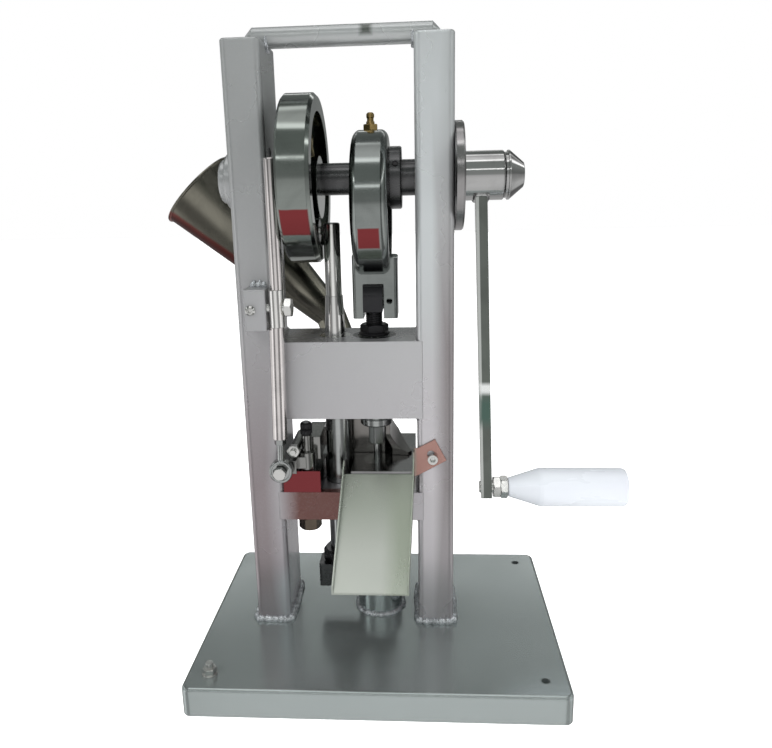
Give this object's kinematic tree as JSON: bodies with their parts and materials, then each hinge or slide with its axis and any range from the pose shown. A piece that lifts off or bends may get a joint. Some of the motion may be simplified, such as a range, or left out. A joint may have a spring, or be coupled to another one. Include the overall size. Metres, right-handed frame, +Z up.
{
  "type": "tablet press",
  "caption": "Hand-cranked single-punch tablet press: welded twin-upright frame, eccentric shaft with cam wheel, strap and ram, die table, lifter, feed shoe with hopper, discharge chute.",
  "frame": {"origin": "centre of the underside of the base plate", "axes": "+Z up, +X towards the crank handle, -Y towards the operator and the discharge chute"},
  "size_m": [0.4019, 0.2298, 0.5158],
  "materials": {
    "frame_paint": "satin metallic silver-grey paint",
    "polished_steel": "ground and polished",
    "dark_steel": "dark oiled steel",
    "black_oxide": "black oxide",
    "bright_chrome": "bright plate",
    "zinc_steel": "zinc plated",
    "stainless_sheet": "satin stainless sheet",
    "brass": "turned brass",
    "bronze": "dark oiled bronze",
    "white_plastic": "smooth white moulding"
  },
  "bodies": {
    "frame": {"base_plate": "frame_paint", "left_upright": "frame_paint", "right_upright": "frame_paint", "carry_bar": "frame_paint", "upper_crossbeam": "frame_paint", "lower_crossbar": "frame_paint", "foot_welds": "frame_paint", "shaft_bushes": "bronze", "left_bearing_cap": "frame_paint", "right_bearing_flange": "polished_steel", "ram_guide_bush": "dark_steel", "lift_guide_bush": "polished_steel", "die_table": "polished_steel", "die": "polished_steel", "discharge_chute": "stainless_sheet", "chute_screw": "zinc_steel", "lower_guide_cylinder": "polished_steel", "rocker_bracket": "frame_paint", "bracket_screw": "zinc_steel", "rocker_pivot_bolt": "zinc_steel", "feeder_stud": "polished_steel", "feeder_stud_nut": "zinc_steel", "feeder_knurled_nut": "black_oxide", "base_bolt": "zinc_steel", "base_bolt_nut": "zinc_steel"},
    "crankshaft": {"main_shaft": "dark_steel", "cam_wheel": "polished_steel", "eccentric_sheave": "dark_steel", "eccentric_collar": "dark_steel", "crank_hub": "bright_chrome", "hub_cone_nut": "bright_chrome", "crank_arm": "bright_chrome", "grip_spindle": "zinc_steel", "spindle_nuts": "zinc_steel"},
    "grip": {"crank_grip": "white_plastic"},
    "strap": {"eccentric_strap": "polished_steel", "grease_nipple": "brass", "wrist_pin": "polished_steel"},
    "ram_dowel": {"ram_timing_dowel": "polished_steel"},
    "ram_slide": {"pressure_screw": "black_oxide", "lock_nut": "black_oxide", "ram": "polished_steel", "punch_nut": "polished_steel", "upper_punch": "polished_steel"},
    "lift_dowel": {"lift_timing_dowel": "polished_steel"},
    "lifter": {"lift_rod": "polished_steel", "lift_roller": "dark_steel", "lift_adjusting_tube": "polished_steel", "lift_tube_nut": "dark_steel", "lift_arm": "dark_steel", "lower_punch": "polished_steel"},
    "rocker": {"rocker_sleeve": "polished_steel", "rocker_rod": "polished_steel", "cam_follower": "dark_steel", "rod_end": "polished_steel"},
    "feeder": {"feeder_swivel": "dark_steel", "feeder_stop_screw": "zinc_steel", "feed_shoe": "dark_steel", "hopper": "stainless_sheet", "rod_end_bolt": "zinc_steel"}
  },
  "joints": [
    {"name": "shaft_spin", "type": "hinge", "parent": "frame", "child": "crankshaft", "pos_m": [0, 0.015, 0.402], "axis": [1, 0, 0], "continuous": true},
    {"name": "grip_spin", "type": "hinge", "parent": "crankshaft", "child": "grip", "pos_m": [0.16, 0.015, 0.1385], "axis": [1, 0, 0], "continuous": true},
    {"name": "strap_turn", "type": "hinge", "parent": "crankshaft", "child": "strap", "pos_m": [0, 0.015, 0.382], "axis": [1, 0, 0], "continuous": true},
    {"name": "ram_dowel_turn", "type": "hinge", "parent": "crankshaft", "child": "ram_dowel", "pos_m": [0.0895, 0.015, 0.392], "axis": [1, 0, 0], "continuous": true},
    {"name": "ram_stroke", "type": "hinge", "parent": "ram_dowel", "child": "ram_slide", "pos_m": [-0.001, 0.015, 0.382], "axis": [1, 0, 0], "continuous": true},
    {"name": "lift_dowel_turn", "type": "hinge", "parent": "crankshaft", "child": "lift_dowel", "pos_m": [0.0895, 0.015, 0.399], "axis": [1, 0, 0], "continuous": true},
    {"name": "lift_stroke", "type": "hinge", "parent": "lift_dowel", "child": "lifter", "pos_m": [-0.034, 0.015, 0.396], "axis": [1, 0, 0], "continuous": true},
    {"name": "rocker_swing", "type": "hinge", "parent": "frame", "child": "rocker", "pos_m": [-0.0728, -0.028, 0.306], "axis": [1, 0, 0], "range_deg": [0, 0.82]},
    {"name": "feeder_swing", "type": "hinge", "parent": "frame", "child": "feeder", "pos_m": [-0.059, -0.006, 0.18], "axis": [0, 0, -1], "range_deg": [0, 6]}
  ],
  "couplings": [
    {"joint": "strap_turn", "follows": "shaft_spin", "ratio": -1},
    {"joint": "ram_dowel_turn", "follows": "shaft_spin", "ratio": -2},
    {"joint": "ram_stroke", "follows": "shaft_spin", "ratio": 1},
    {"joint": "lift_dowel_turn", "follows": "shaft_spin", "ratio": -2},
    {"joint": "lift_stroke", "follows": "shaft_spin", "ratio": 1},
    {"joint": "feeder_swing", "follows": "rocker_swing", "ratio": 7.3}
  ]
}
